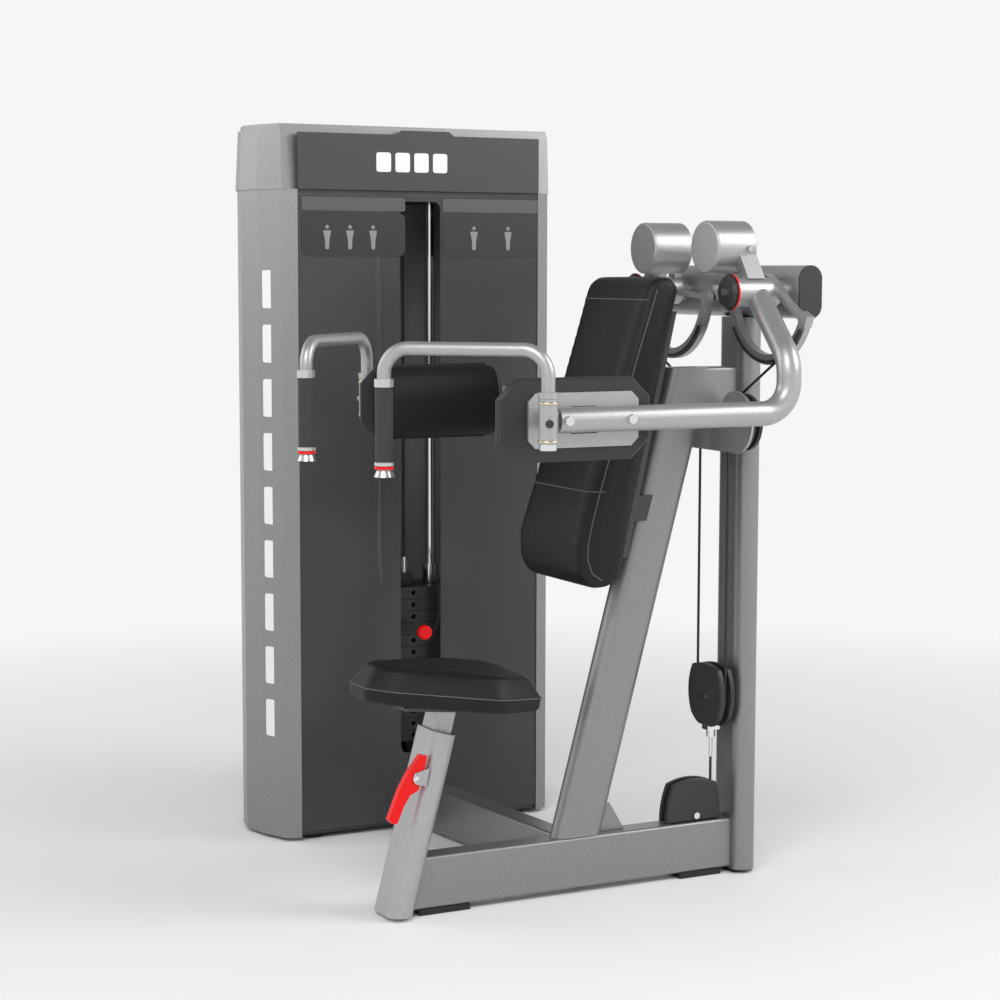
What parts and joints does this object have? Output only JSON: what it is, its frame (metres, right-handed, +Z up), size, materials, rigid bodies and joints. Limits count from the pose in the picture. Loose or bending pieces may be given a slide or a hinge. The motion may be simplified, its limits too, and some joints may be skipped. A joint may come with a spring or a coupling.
{
  "type": "lateral raise gym machine",
  "caption": "Selectorised lateral raise machine: weight tower, seat on a raised post, reclined back pad, and two swinging arms with padded rollers, grips and cam cables",
  "frame": {"origin": "centre of the footprint box, on the floor", "axes": "+Z up, the seated user faces -Y, the weight tower stands on the -X side"},
  "size_m": [1.2532, 0.8875, 1.493],
  "materials": {
    "frame_coat": "fine metallic powder coat, satin",
    "dark_coat": "dark grey, satin",
    "smoked": "smoked, semi-gloss",
    "chrome": "polished",
    "steel_plate": "black enamel",
    "pad": "soft grained upholstery with beige piping",
    "moulding": "fine texture",
    "grip": "matt",
    "foot": "matt",
    "red": "gloss",
    "cable": "nylon-coated cable",
    "sheave": "moulded nylon"
  },
  "bodies": {
    "frame": {"tower_base": "dark_coat", "tower_columns": "frame_coat", "tower_cap": "frame_coat", "nameplate": "dark_coat", "side_shield": "smoked", "back_shield": "smoked", "guide_rods": "chrome", "lower_plates": "steel_plate", "sheave_brackets": "dark_coat", "base_rail": "frame_coat", "cross_member": "frame_coat", "floor_feet": "foot", "seat_post": "frame_coat", "leaning_column": "frame_coat", "upper_beam": "frame_coat", "rear_column": "frame_coat", "crossbar": "frame_coat", "guide_pulley_plate": "frame_coat", "pulley_housing": "moulding", "back_bracket": "dark_coat", "back_pad": "pad", "upper_cables": "cable", "low_cable": "cable", "stack_rope": "cable", "block_rope": "cable", "guide_ropes": "cable"},
    "left_arm": {"left_cam": "frame_coat", "left_hub_cap": "moulding", "left_counterweight": "frame_coat", "left_arm_tube": "frame_coat", "left_pad_plate": "frame_coat", "left_pad_tray": "moulding", "left_arm_pad": "pad", "left_cam_cable": "cable"},
    "right_arm": {"right_cam": "frame_coat", "right_hub_cap": "moulding", "right_counterweight": "frame_coat", "right_arm_tube": "frame_coat", "right_pad_plate": "frame_coat", "right_pad_tray": "moulding", "right_arm_pad": "pad", "right_cam_cable": "cable"},
    "left_handle": {"left_handle_tube": "frame_coat", "left_handle_grip": "grip"},
    "right_handle": {"right_handle_tube": "frame_coat", "right_handle_grip": "grip"},
    "seat": {"seat_tube": "chrome", "seat_pad": "pad"},
    "lever": {"seat_lever": "red"},
    "stack": {"stack_head": "steel_plate", "pin_lanyard": "cable"},
    "pin": {"selector_pin": "chrome"},
    "block": {"floating_block": "moulding"},
    "block_wheel": {"floating_sheave": "sheave"},
    "left_guide": {"left_guide_sheave": "sheave"},
    "right_guide": {"right_guide_sheave": "sheave"},
    "rail_wheel": {"rail_sheave": "sheave"},
    "turning_wheel": {"turning_sheave": "sheave"},
    "low_wheel": {"tower_low_sheave": "sheave"},
    "top_wheel": {"tower_top_sheave": "sheave"}
  },
  "joints": [
    {"name": "left_arm_lift", "type": "hinge", "parent": "frame", "child": "left_arm", "pos_m": [0.3965, 0.3363, 1.1565], "axis": [0, -1, 0], "range_deg": [0, 90]},
    {"name": "right_arm_lift", "type": "hinge", "parent": "frame", "child": "right_arm", "pos_m": [0.0465, 0.3363, 1.1565], "axis": [0, 1, 0], "range_deg": [0, 90]},
    {"name": "left_handle_swivel", "type": "hinge", "parent": "left_arm", "child": "left_handle", "pos_m": [0.6065, -0.2147, 0.943], "axis": [0, 0, 1], "range_deg": [-25, 60]},
    {"name": "right_handle_swivel", "type": "hinge", "parent": "right_arm", "child": "right_handle", "pos_m": [-0.1635, -0.2147, 0.943], "axis": [0, 0, -1], "range_deg": [-25, 60]},
    {"name": "seat_height", "type": "slide", "parent": "frame", "child": "seat", "axis": [0, 0.2549, 0.967], "range_m": [-0.04, 0.12]},
    {"name": "seat_lever_squeeze", "type": "hinge", "parent": "frame", "child": "lever", "pos_m": [0.2645, -0.3077, 0.27], "axis": [1, 0, 0], "range_deg": [0, 10], "stiffness_Nm_per_rad": 3},
    {"name": "stack_lift", "type": "slide", "parent": "frame", "child": "stack", "axis": [0, 0, 1], "range_m": [0, 0.206], "deforming": ["stack_rope"]},
    {"name": "pin_pull", "type": "slide", "parent": "stack", "child": "pin", "axis": [1, 0, 0], "range_m": [0, 0.06]},
    {"name": "block_lift", "type": "slide", "parent": "frame", "child": "block", "axis": [0, 0, 1], "range_m": [0, 0.206], "deforming": ["block_rope", "guide_ropes"]},
    {"name": "block_wheel_spin", "type": "hinge", "parent": "block", "child": "block_wheel", "pos_m": [0.2215, 0.3593, 0.357], "axis": [0, 1, 0], "continuous": true},
    {"name": "left_guide_spin", "type": "hinge", "parent": "frame", "child": "left_guide", "pos_m": [0.3215, 0.3593, 0.907], "axis": [0, 1, 0], "range_deg": [0, 241]},
    {"name": "right_guide_spin", "type": "hinge", "parent": "frame", "child": "right_guide", "pos_m": [0.1215, 0.3593, 0.907], "axis": [0, -1, 0], "range_deg": [0, 241]},
    {"name": "rail_wheel_spin", "type": "hinge", "parent": "frame", "child": "rail_wheel", "pos_m": [0.2215, 0.3163, 0.123], "axis": [1, 0, 0], "range_deg": [0, 275]},
    {"name": "turning_wheel_spin", "type": "hinge", "parent": "frame", "child": "turning_wheel", "pos_m": [0.1815, 0.10221, 0.08], "axis": [0, 0, 1], "range_deg": [0, 295]},
    {"name": "low_wheel_spin", "type": "hinge", "parent": "frame", "child": "low_wheel", "pos_m": [-0.49177, -0.01081, 0.127], "axis": [0.1075, -0.9942, 0], "range_deg": [0, 251]},
    {"name": "top_wheel_spin", "type": "hinge", "parent": "frame", "child": "top_wheel", "pos_m": [-0.4915, -0.01228, 1.4], "axis": [0.0759, -0.9971, 0], "range_deg": [0, 251]}
  ],
  "couplings": [
    {"joint": "right_arm_lift", "follows": "left_arm_lift", "ratio": 1},
    {"joint": "stack_lift", "follows": "left_arm_lift", "m_per_rad": 0.131},
    {"joint": "block_lift", "follows": "left_arm_lift", "m_per_rad": 0.131},
    {"joint": "left_guide_spin", "follows": "left_arm_lift", "ratio": 2.6735},
    {"joint": "right_guide_spin", "follows": "left_arm_lift", "ratio": 2.6735},
    {"joint": "rail_wheel_spin", "follows": "left_arm_lift", "ratio": 3.0465},
    {"joint": "turning_wheel_spin", "follows": "left_arm_lift", "ratio": 3.275},
    {"joint": "low_wheel_spin", "follows": "left_arm_lift", "ratio": 2.7872},
    {"joint": "top_wheel_spin", "follows": "left_arm_lift", "ratio": 2.7872}
  ]
}
